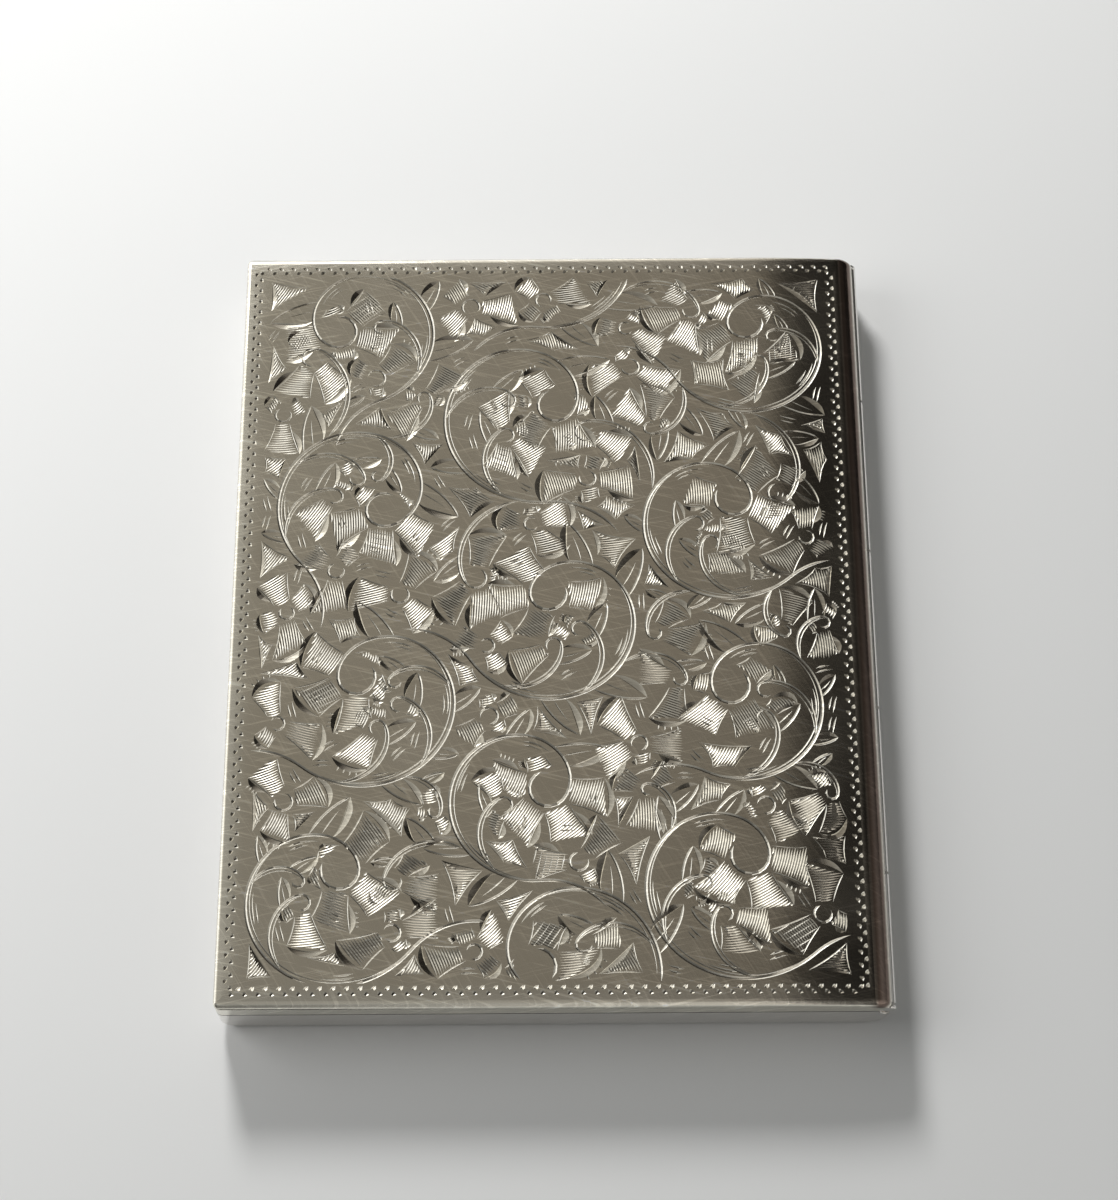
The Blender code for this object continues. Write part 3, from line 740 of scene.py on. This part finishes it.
def extrude_section(name, section, half_length, edge_r=0.0, rim_z=0.0):
    """A solid with one section along Y; the edges round its ends are rolled except along the rim."""
    work = bmesh.new()
    face = work.faces.new([work.verts.new((x * MM, -half_length * MM, z * MM)) for x, z in section])
    grown = bmesh.ops.extrude_face_region(work, geom=[face])["geom"]
    moved = [item for item in grown if isinstance(item, bmesh.types.BMVert)]
    bmesh.ops.translate(work, vec=(0, 2 * half_length * MM, 0), verts=moved)
    bmesh.ops.recalc_face_normals(work, faces=work.faces)
    if edge_r:
        ends = []
        for edge in work.edges:
            a, b = (vert.co for vert in edge.verts)
            at_rim = abs(a.z - rim_z * MM) < 1e-7 and abs(b.z - rim_z * MM) < 1e-7
            if abs(a.y - b.y) < 1e-7 and not at_rim:
                ends.append(edge)
        bmesh.ops.bevel(
            work, geom=ends, offset=edge_r * MM, segments=EDGE_STEPS, profile=0.5, affect="EDGES"
        )
    mesh = bpy.data.meshes.new(name)
    work.to_mesh(mesh)
    work.free()
    obj = bpy.data.objects.new(name, mesh)
    bpy.context.scene.collection.objects.link(obj)
    return obj


def cylinder_y(name, radius, half_length, x, z):
    section = [polar((x, z), radius, 2 * math.pi * i / BARREL_STEPS) for i in range(BARREL_STEPS)]
    return extrude_section(name, section, half_length)


def box_piece(name, low, high):
    section = [(low[0], low[2]), (high[0], low[2]), (high[0], high[2]), (low[0], high[2])]
    return extrude_section(name, section, (high[1] - low[1]) / 2)


def subtract(obj, cutters):
    """Applies the cuts and removes the cutters."""
    for cutter in cutters:
        boolean = obj.modifiers.new(cutter.name, "BOOLEAN")
        boolean.operation = "DIFFERENCE"
        boolean.solver = "EXACT"
        boolean.object = cutter
    bpy.context.view_layer.update()
    evaluated = obj.evaluated_get(bpy.context.evaluated_depsgraph_get())
    mesh = bpy.data.meshes.new_from_object(evaluated)
    obj.modifiers.clear()
    obj.data = mesh
    for cutter in cutters:
        bpy.data.objects.remove(cutter)


def hinge_channel():
    x = (BARREL_LOW.x + BARREL_HIGH.x) / 2
    z = (BARREL_LOW.z + BARREL_HIGH.z) / 2
    radius = (BARREL_HIGH.z - BARREL_LOW.z) / 2 + CHANNEL_CLEARANCE
    return cylinder_y("channel", radius, HALF_LENGTH + OVERCUT, x, z)


def shade(work, is_fine):
    """Smooth shading with crisp edges; an edge between the engraving and the rest is always crisp."""
    limits = (CRISP_ANGLE, 0.0, ENGRAVED_CRISP_ANGLE)
    for face in work.faces:
        face.smooth = True
    for edge in work.edges:
        if len(edge.link_faces) == 2:
            fine_faces = sum(is_fine(face) for face in edge.link_faces)
            edge.smooth = edge.calc_face_angle(0.0) < limits[fine_faces]


def groove_depths(points):
    """Depth of the deepest groove at each point, found by looking up at the grooves from below."""
    corners = []
    triangles = []
    for left, bottom, right, depth in grooves:
        base = len(corners)
        count = len(bottom)
        corners += [(x, y, 0.0) for x, y in left]
        corners += [(x, y, -d) for (x, y), d in zip(bottom, depth)]
        corners += [(x, y, 0.0) for x, y in right]
        for row in (base, base + count):
            for i in range(count - 1):
                triangles.append((row + i, row + i + 1, row + count + i + 1))
                triangles.append((row + i, row + count + i + 1, row + count + i))
    tree = BVHTree.FromPolygons(corners, triangles)
    nudge = 0.0004
    up = Vector((0, 0, 1))
    depths = np.zeros(len(points))
    for k, (x, y) in enumerate(points):
        for dx, dy in ((nudge, nudge / 3), (-nudge, -nudge / 3), (nudge / 3, -nudge), (-nudge / 3, nudge)):
            hit = tree.ray_cast(Vector((x + dx, y + dy, -5.0)), up)[0]
            if hit is not None:
                depths[k] = max(depths[k], -hit.z)
    return depths


def triangulate(outline):
    """One triangulation of the plate that follows its outline, every groove and the crown's curve."""
    points = [Vector(point) for point in outline]
    edges = [(i, (i + 1) % len(outline)) for i in range(len(outline))]
    for left, bottom, right, _ in grooves:
        for line in (left, bottom, right):
            base = len(points)
            points += [Vector(point) for point in line]
            edges += [(base + i, base + i + 1) for i in range(len(line) - 1)]
    grid_half_y = PLATE_HALF_Y - CROWN_GRID_INSET
    for x in np.arange(CROWN_START_X, PLATE_HIGH_X - ROLL_MARGIN, CROWN_GRID_X):
        for y in np.arange(-grid_half_y, grid_half_y, CROWN_GRID_Y):
            points.append(Vector((x, y)))
    for inset in PILLOW_LINES:
        for y in np.arange(-PLATE_HALF_Y + inset, PLATE_HALF_Y - inset, PILLOW_LINE_STEP):
            points.append(Vector((PLATE_LOW_X + inset, y)))
        for x in np.arange(PLATE_LOW_X + inset, PLATE_HIGH_X - ROLL_MARGIN, PILLOW_LINE_STEP):
            for y in (PLATE_HALF_Y - inset, inset - PLATE_HALF_Y):
                points.append(Vector((x, y)))
    result = delaunay_2d_cdt(points, edges, [], 1, 1e-5, False)
    return result[0], result[2]


def engraved_lid():
    rim_z = LID_LOW.z
    lid = extrude_section("engraved_lid", lid_section(0.0, rim_z), HALF_LENGTH, END_EDGE_R, rim_z)
    cavity = extrude_section("cavity", lid_section(SHEET, rim_z - OVERCUT), HALF_LENGTH - SHEET)
    subtract(lid, [cavity, hinge_channel()])
    work = bmesh.new()
    work.from_mesh(lid.data)
    depth_layer = work.verts.layers.float.new("cut_depth")
    engraved = work.faces.layers.int.new("engraved")

    plate = []
    for face in work.faces:
        places = [vert.co / MM for vert in face.verts]
        if all(
            PLATE_LOW_X - PLATE_SLACK < p.x < PLATE_HIGH_X + PLATE_SLACK
            and abs(p.y) < PLATE_HALF_Y + PLATE_SLACK
            and abs(p.z - plate_z(p.x)) < PLATE_SLACK
            for p in places
        ):
            plate.append(face)
    bmesh.ops.delete(work, geom=plate, context="FACES")
    rim = [edge for edge in work.edges if len(edge.link_faces) == 1]
    loop = [rim[0].verts[0], rim[0].verts[1]]
    links = {}
    for edge in rim:
        for vert in edge.verts:
            links.setdefault(vert, []).append(edge.other_vert(vert))
    while len(loop) < len(links):
        ahead = [vert for vert in links[loop[-1]] if vert is not loop[-2]]
        loop.append(ahead[0])

    outline = [(vert.co.x / MM, vert.co.y / MM) for vert in loop]
    places, faces = triangulate(outline)
    depths = groove_depths(places)
    finder = KDTree(len(places))
    for i, (x, y) in enumerate(places):
        finder.insert((x, y, 0.0), i)
    finder.balance()
    shared = {finder.find((x, y, 0.0))[1]: vert for (x, y), vert in zip(outline, loop)}
    verts = []
    for i, ((x, y), depth) in enumerate(zip(places, depths)):
        vert = shared.get(i)
        if vert is None:
            vert = work.verts.new((x * MM, y * MM, (plate_z(x) - depth) * MM))
            vert[depth_layer] = depth
        verts.append(vert)
    for face in faces:
        (ax, ay), (bx, by), (cx, cy) = (places[i] for i in face)
        area = abs((bx - ax) * (cy - ay) - (cx - ax) * (by - ay)) / 2
        on_rim = all(i in shared for i in face)
        if not (on_rim and area < SLIVER_AREA):
            made = work.faces.new([verts[i] for i in face])
            made[engraved] = 1
            if made.normal.z < 0:
                made.normal_flip()
    for vert in work.verts:
        share = max(0.0, 1 - (TOP_Z - vert.co.z / MM) / PILLOW_FADE)
        vert.co.z -= pillow_drop(vert.co.x / MM, vert.co.y / MM) * share * MM
    bmesh.ops.recalc_face_normals(work, faces=work.faces)
    shade(work, lambda face: face[engraved] == 1)
    work.to_mesh(lid.data)
    work.free()
    return lid


def fine_tray():
    rim_z = TRAY_HIGH.z
    tray = extrude_section("tray_shell", tray_section(0.0, rim_z), HALF_LENGTH, END_EDGE_R, rim_z)
    cavity = extrude_section("cavity", tray_section(SHEET, rim_z + OVERCUT), HALF_LENGTH - SHEET)
    button_low, button_high = (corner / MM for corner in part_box("push_button"))
    slot_half = BUTTON_HALF_LENGTH + BUTTON_CLEARANCE
    slot = box_piece(
        "slot",
        (-HALF_WIDTH - OVERCUT, -slot_half, button_low.z - BUTTON_CLEARANCE),
        (-HALF_WIDTH + SHEET + OVERCUT, slot_half, button_high.z + BUTTON_CLEARANCE),
    )
    subtract(tray, [cavity, hinge_channel(), slot])
    work = bmesh.new()
    work.from_mesh(tray.data)
    shade(work, lambda face: False)
    work.to_mesh(tray.data)
    work.free()
    return tray


# ---------------------------------------------------------------------------
# Shader nodes
# ---------------------------------------------------------------------------


def put(tree, value, socket):
    """Links another node's output to a socket, or sets the socket's own value."""
    if isinstance(value, bpy.types.NodeSocket):
        tree.links.new(value, socket)
    else:
        socket.default_value = value


def maths(tree, operation, *values):
    node = tree.nodes.new("ShaderNodeMath")
    node.operation = operation
    for value, socket in zip(values, node.inputs):
        put(tree, value, socket)
    return node.outputs["Value"]


def vector_maths(tree, operation, first, second):
    node = tree.nodes.new("ShaderNodeVectorMath")
    node.operation = operation
    put(tree, first, node.inputs[0])
    put(tree, second, node.inputs["Scale"] if operation == "SCALE" else node.inputs[1])
    return node.outputs["Value" if operation == "DOT_PRODUCT" else "Vector"]


def ramp(tree, value, low, high, to_low=0.0, to_high=1.0):
    """A value that runs from to_low to to_high while another goes from low to high."""
    node = tree.nodes.new("ShaderNodeMapRange")
    node.inputs["From Min"].default_value = low
    node.inputs["From Max"].default_value = high
    node.inputs["To Min"].default_value = to_low
    node.inputs["To Max"].default_value = to_high
    tree.links.new(value, node.inputs["Value"])
    return node.outputs["Result"]


def mixed(tree, share, first, second):
    node = tree.nodes.new("ShaderNodeMix")
    node.data_type = "RGBA"
    put(tree, share, node.inputs["Factor"])
    put(tree, first, node.inputs["A"])
    put(tree, second, node.inputs["B"])
    return node.outputs["Result"]


def noise(tree, place, scale, detail=2.0):
    node = tree.nodes.new("ShaderNodeTexNoise")
    node.inputs["Scale"].default_value = scale
    node.inputs["Detail"].default_value = detail
    tree.links.new(place, node.inputs["Vector"])
    return node.outputs["Fac"]


def colour_ramp(tree, value, stops):
    node = tree.nodes.new("ShaderNodeValToRGB")
    elements = node.color_ramp.elements
    elements[0].position = stops[0][0]
    elements[1].position = stops[-1][0]
    for position, _ in stops[1:-1]:
        elements.new(position)
    for element, (_, colour) in zip(elements, stops):
        element.color = (*colour, 1.0)
    tree.links.new(value, node.inputs["Fac"])
    return node.outputs["Color"]


# ---------------------------------------------------------------------------
# Materials
# ---------------------------------------------------------------------------

CLOUD_SCALE = 90.0
CLOUD_SHADE = 0.86
CUT_TARNISH = (0.20, 0.17, 0.14, 1.0)
DEEPEST_CUT = 0.10
# Painted reflection: brown for the reddish glimpse that the top of the spine's roll mirrors
SPINE_REFLECTION_BROWN = (0.17, 0.13, 0.11, 1.0)

# Hairlines: slant and tilt (radians) and strength of each set; size and depth of one hairline (metres)
WORN_HAIRLINES = ((1.32, 0.5, 1.0), (1.78, -0.4, 0.8), (0.55, 0.7, 0.5))
BRUSHED_HAIRLINES = ((0.0, 0.5, 1.0),)
HAIRLINE_SIZE = (1 / 3600, 1 / 130, 1 / 400)
HAIRLINE_DEPTH = 0.0001
HAIRLINE_BUMP = 0.10
# Painted sheen: how much the metal's colour brightens along a scratch
HAIRLINE_SHINE = 0.55


def painted_spine_reflection(tree, place, finish):
    """Painted reflection: a brown band along the top of the rolled spine, for the reddish glimpse that the
    roll mirrors, fading out below the roll.
    """
    axes = tree.nodes.new("ShaderNodeSeparateXYZ")
    tree.links.new(place, axes.inputs[0])
    across = ramp(tree, axes.outputs["X"], (PLATE_HIGH_X - 0.6) * MM, (PLATE_HIGH_X + 0.4) * MM)
    above = ramp(tree, axes.outputs["Z"], (ROLL_Z + 1.0) * MM, (ROLL_Z + 1.5) * MM)
    return mixed(tree, maths(tree, "MULTIPLY", across, above), finish, SPINE_REFLECTION_BROWN)


def hairlines(tree, place, finish, sets, scratch):
    """Stretched noises that scratch the surface, and a painted sheen that brightens the metal's colour along
    the scratches.
    """
    normal = None
    for slant, tilt, share in sets:
        turn = tree.nodes.new("ShaderNodeMapping")
        turn.vector_type = "TEXTURE"
        turn.inputs["Rotation"].default_value = (0.0, tilt, slant)
        turn.inputs["Scale"].default_value = HAIRLINE_SIZE
        tree.links.new(place, turn.inputs["Vector"])
        hair = noise(tree, turn.outputs["Vector"], 1.0)
        bump = tree.nodes.new("ShaderNodeBump")
        bump.inputs["Strength"].default_value = HAIRLINE_BUMP * scratch * share
        bump.inputs["Distance"].default_value = HAIRLINE_DEPTH
        tree.links.new(hair, bump.inputs["Height"])
        if normal:
            tree.links.new(normal, bump.inputs["Normal"])
        normal = bump.outputs["Normal"]
        # Painted sheen: the colour is brightened along each scratch
        scratch_sheen = ramp(tree, hair, 0.57, 0.74, 1.0, 1.0 + HAIRLINE_SHINE * scratch * share)
        finish = vector_maths(tree, "SCALE", finish, scratch_sheen)
    return normal, finish


def metal(name, colour, roughness, scratch=0.5, tarnish=0.0, brushed=False):
    """Worked silver or steel: clouded polish, hairline scratches with a painted sheen along them and darker
    metal in the grooves.
    """
    material = bpy.data.materials.new(name)
    material.use_nodes = True
    tree = material.node_tree
    surface = tree.nodes["Principled BSDF"]
    surface.inputs["Metallic"].default_value = 1.0
    place = tree.nodes.new("ShaderNodeTexCoord").outputs["Object"]

    cloud = noise(tree, place, CLOUD_SCALE, 4.0)
    polish = ramp(tree, cloud, 0.3, 0.7, roughness * 0.75, roughness * 1.35)
    shaded = (*(channel * CLOUD_SHADE for channel in colour), 1.0)
    finish = mixed(tree, cloud, shaded, (*colour, 1.0))
    if tarnish:
        depth = tree.nodes.new("ShaderNodeAttribute")
        depth.attribute_name = "cut_depth"
        share = ramp(tree, depth.outputs["Fac"], 0.0, DEEPEST_CUT, 0.0, tarnish)
        # Tarnish darkens the grooves; a painted reflection browns the top of the spine's roll
        finish = painted_spine_reflection(tree, place, mixed(tree, share, finish, CUT_TARNISH))
    sets = BRUSHED_HAIRLINES if brushed else WORN_HAIRLINES
    normal, finish = hairlines(tree, place, finish, sets, scratch)
    tree.links.new(polish, surface.inputs["Roughness"])
    tree.links.new(normal, surface.inputs["Normal"])
    tree.links.new(finish, surface.inputs["Base Color"])
    return material


def dress(obj, material):
    """Puts one material on every slot of a piece."""
    if not obj.data.materials:
        obj.data.materials.append(material)
    for place in obj.material_slots:
        place.link = "OBJECT"
        place.material = material


ENGRAVED = metal("engraved_silver_fine", (0.80, 0.77, 0.68), 0.15, 0.8, tarnish=0.35)
POLISHED = metal("polished_silver_fine", (0.80, 0.78, 0.75), 0.10, 0.25)
# Painted shade: the bezel in the seam between lid and tray is coloured dark silver for the shade in that
# narrow gap
SEAM_PAINTED_SHADE = metal("silver_painted_seam_shade", (0.40, 0.375, 0.34), 0.36, 1.0, brushed=True)
SATIN = metal("satin_silver_fine", (0.76, 0.74, 0.70), 0.34, 1.0, brushed=True)
STEEL = metal("spring_steel_fine", (0.55, 0.55, 0.57), 0.28, 1.2, brushed=True)

SATIN_NODES = ("base_hinge_strip", "lid_hinge_strip", "arm_lug_far", "arm_lug_near")
STEEL_NODES = (
    "hinge_pin", "catch_tongue", "catch_keeper", "catch_spring", "spring_rivet_far", "spring_rivet_near",
    "arm_rod", "arm_spring_far", "arm_spring_near",
)


def dress_nodes():
    for name, obj in NODES.items():
        # The seam's bezel carries the painted shade of the gap
        if name == "base_bezel":
            dress(obj, SEAM_PAINTED_SHADE)
        elif name in SATIN_NODES:
            dress(obj, SATIN)
        elif name in STEEL_NODES:
            dress(obj, STEEL)
        else:
            dress(obj, POLISHED)


# ---------------------------------------------------------------------------
# Floor, light and camera
# ---------------------------------------------------------------------------

CAMERA_TILT = math.radians(23.2)
CAMERA_PLACE = (0.002, -0.1225, 0.297)
CAMERA_LENS = 79.5
MIRRORED = Vector((0.0, math.sin(CAMERA_TILT), math.cos(CAMERA_TILT)))

# Room brightness by the cosine of the angle from the direction that the flat lid mirrors
RING_STOPS = (
    (0.45, (2.6, 2.6, 2.52)),
    (0.72, (1.35, 1.3095, 1.215)),
    (0.90, (0.66, 0.6402, 0.594)),
    (0.955, (0.45, 0.4365, 0.405)),
    (0.985, (0.375, 0.348, 0.30)),
)
WINDOW_SIDE = Vector((-0.85, 0.45, 0.28)).normalized()
WINDOW_FADE = (0.05, 0.85)
WINDOW_LIGHT = (0.22, 1.1)
QUARTER_TURN = math.radians(135)
QUARTER_CONTRAST = 3.0
DARKEST_QUARTER = 0.10

# A dark band in the room by how far to the right it lies
CURTAIN_STOPS = (
    (0.0, (1.0, 1.0, 1.0)),
    (0.24, (1.0, 0.95, 0.92)),
    (0.28, (0.14, 0.133, 0.1288)),
    (0.46, (0.05, 0.0475, 0.046)),
    (0.52, (0.7, 0.665, 0.644)),
    (1.0, (0.7, 0.7, 0.7)),
)
CURTAIN_WAVES = 9.0
CURTAIN_WAVE_DEPTH = 0.30
CAP_RISE = (0.30, 0.65)
BRIGHTEST = (1.30, 1.60)
ROOM_FOR_FLOOR = (0.168, 0.172, 0.17, 1.0)
WALL_SEEN = (0.70, 0.71, 0.70, 1.0)


def build_floor():
    work = bmesh.new()
    bmesh.ops.create_grid(work, x_segments=2, y_segments=2, size=3.0)
    mesh = bpy.data.meshes.new("floor")
    work.to_mesh(mesh)
    work.free()
    floor = bpy.data.objects.new("floor", mesh)
    bpy.context.scene.collection.objects.link(floor)
    material = bpy.data.materials.new("pale_floor")
    material.use_nodes = True
    surface = material.node_tree.nodes["Principled BSDF"]
    surface.inputs["Base Color"].default_value = (0.80, 0.80, 0.79, 1.0)
    surface.inputs["Roughness"].default_value = 0.6
    floor.data.materials.append(material)


def build_camera():
    data = bpy.data.cameras.new("camera")
    data.lens = CAMERA_LENS
    data.sensor_width = 36.0
    data.clip_start = 0.01
    camera = bpy.data.objects.new("camera", data)
    camera.location = CAMERA_PLACE
    camera.rotation_euler = Euler((CAMERA_TILT, math.radians(0.35), math.radians(-0.27)))
    bpy.context.scene.collection.objects.link(camera)
    bpy.context.scene.camera = camera


def quarter_axes():
    """Two directions across the mirrored one; the quarters where both lean the same way are bright."""
    right = Vector((1.0, 0.0, 0.0))
    up = MIRRORED.cross(right)
    angles = (QUARTER_TURN - math.pi / 4, QUARTER_TURN + math.pi / 4)
    return [right * math.cos(angle) + up * math.sin(angle) for angle in angles]


def build_world():
    """A pale room: dim in the direction that the flat lid mirrors, bright low down and to the left."""
    world = bpy.data.worlds.new("studio")
    world.use_nodes = True
    bpy.context.scene.world = world
    tree = world.node_tree
    background = tree.nodes["Background"]
    way = tree.nodes.new("ShaderNodeTexCoord").outputs["Generated"]
    axes = tree.nodes.new("ShaderNodeSeparateXYZ")
    tree.links.new(way, axes.inputs[0])

    ring = colour_ramp(tree, vector_maths(tree, "DOT_PRODUCT", way, MIRRORED), RING_STOPS)
    fade = ramp(tree, vector_maths(tree, "DOT_PRODUCT", way, WINDOW_SIDE), *WINDOW_FADE, *WINDOW_LIGHT)

    # Two bright and two dark quarters round that direction set hatched patches apart by their slant
    leans = [vector_maths(tree, "DOT_PRODUCT", way, direction) for direction in quarter_axes()]
    contrast = maths(tree, "MULTIPLY_ADD", maths(tree, "MULTIPLY", *leans), QUARTER_CONTRAST, 1.0)
    quarter = maths(tree, "MAXIMUM", contrast, DARKEST_QUARTER)

    # A dark curtain to the right of the mirrored direction, which only the crown by the hinge sees
    folds = noise(tree, way, CURTAIN_WAVES)
    wavy = maths(tree, "MULTIPLY_ADD", folds, CURTAIN_WAVE_DEPTH, axes.outputs["X"])
    shaded = vector_maths(tree, "MULTIPLY", ring, colour_ramp(tree, wavy, CURTAIN_STOPS))
    scaled = vector_maths(tree, "SCALE", shaded, maths(tree, "MULTIPLY", quarter, fade))

    # The room's brightness is capped, most of all low down, so that less of the silver burns out
    most = ramp(tree, axes.outputs["Z"], *CAP_RISE, *BRIGHTEST)
    seen = vector_maths(tree, "MINIMUM", scaled, most)

    # The floor is lit evenly and dimly by the room, so that the window's shadow stays readable,
    # and the camera sees a plain pale wall behind the floor
    path = tree.nodes.new("ShaderNodeLightPath")
    seen = mixed(tree, path.outputs["Is Diffuse Ray"], seen, ROOM_FOR_FLOOR)
    seen = mixed(tree, path.outputs["Is Camera Ray"], seen, WALL_SEEN)
    tree.links.new(seen, background.inputs["Color"])
    background.inputs["Strength"].default_value = 1.0


def area_light(name, place, size, energy, in_mirrors=False):
    """A round lamp aimed at the case, seen either by matt surfaces or in mirrored ones."""
    data = bpy.data.lights.new(name, "AREA")
    data.shape = "DISK"
    data.size = size
    data.energy = energy
    light = bpy.data.objects.new(name, data)
    light.location = place
    light.rotation_euler = (-Vector(place)).to_track_quat("-Z", "Y").to_euler()
    light.visible_glossy = in_mirrors
    light.visible_diffuse = not in_mirrors
    bpy.context.scene.collection.objects.link(light)


def build_lights():
    area_light("window", (-0.12, 0.41, 0.27), 0.12, 2.32)
    area_light("fill", (-0.24, 0.02, 0.20), 0.22, 0.30)
    area_light("glint", (-0.17, 0.34, 0.22), 0.22, 0.18, in_mirrors=True)


# ---------------------------------------------------------------------------
# The scene
# ---------------------------------------------------------------------------

draw_ornament()
lid = engraved_lid()
tray = fine_tray()
dress_nodes()
dress(lid, ENGRAVED)
dress(tray, POLISHED)
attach(lid, "lid")
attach(tray, "tray")
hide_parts("lid_shell")
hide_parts("base_shell")

build_floor()
build_world()
build_lights()
build_camera()
bpy.context.scene.view_settings.view_transform = "Standard"
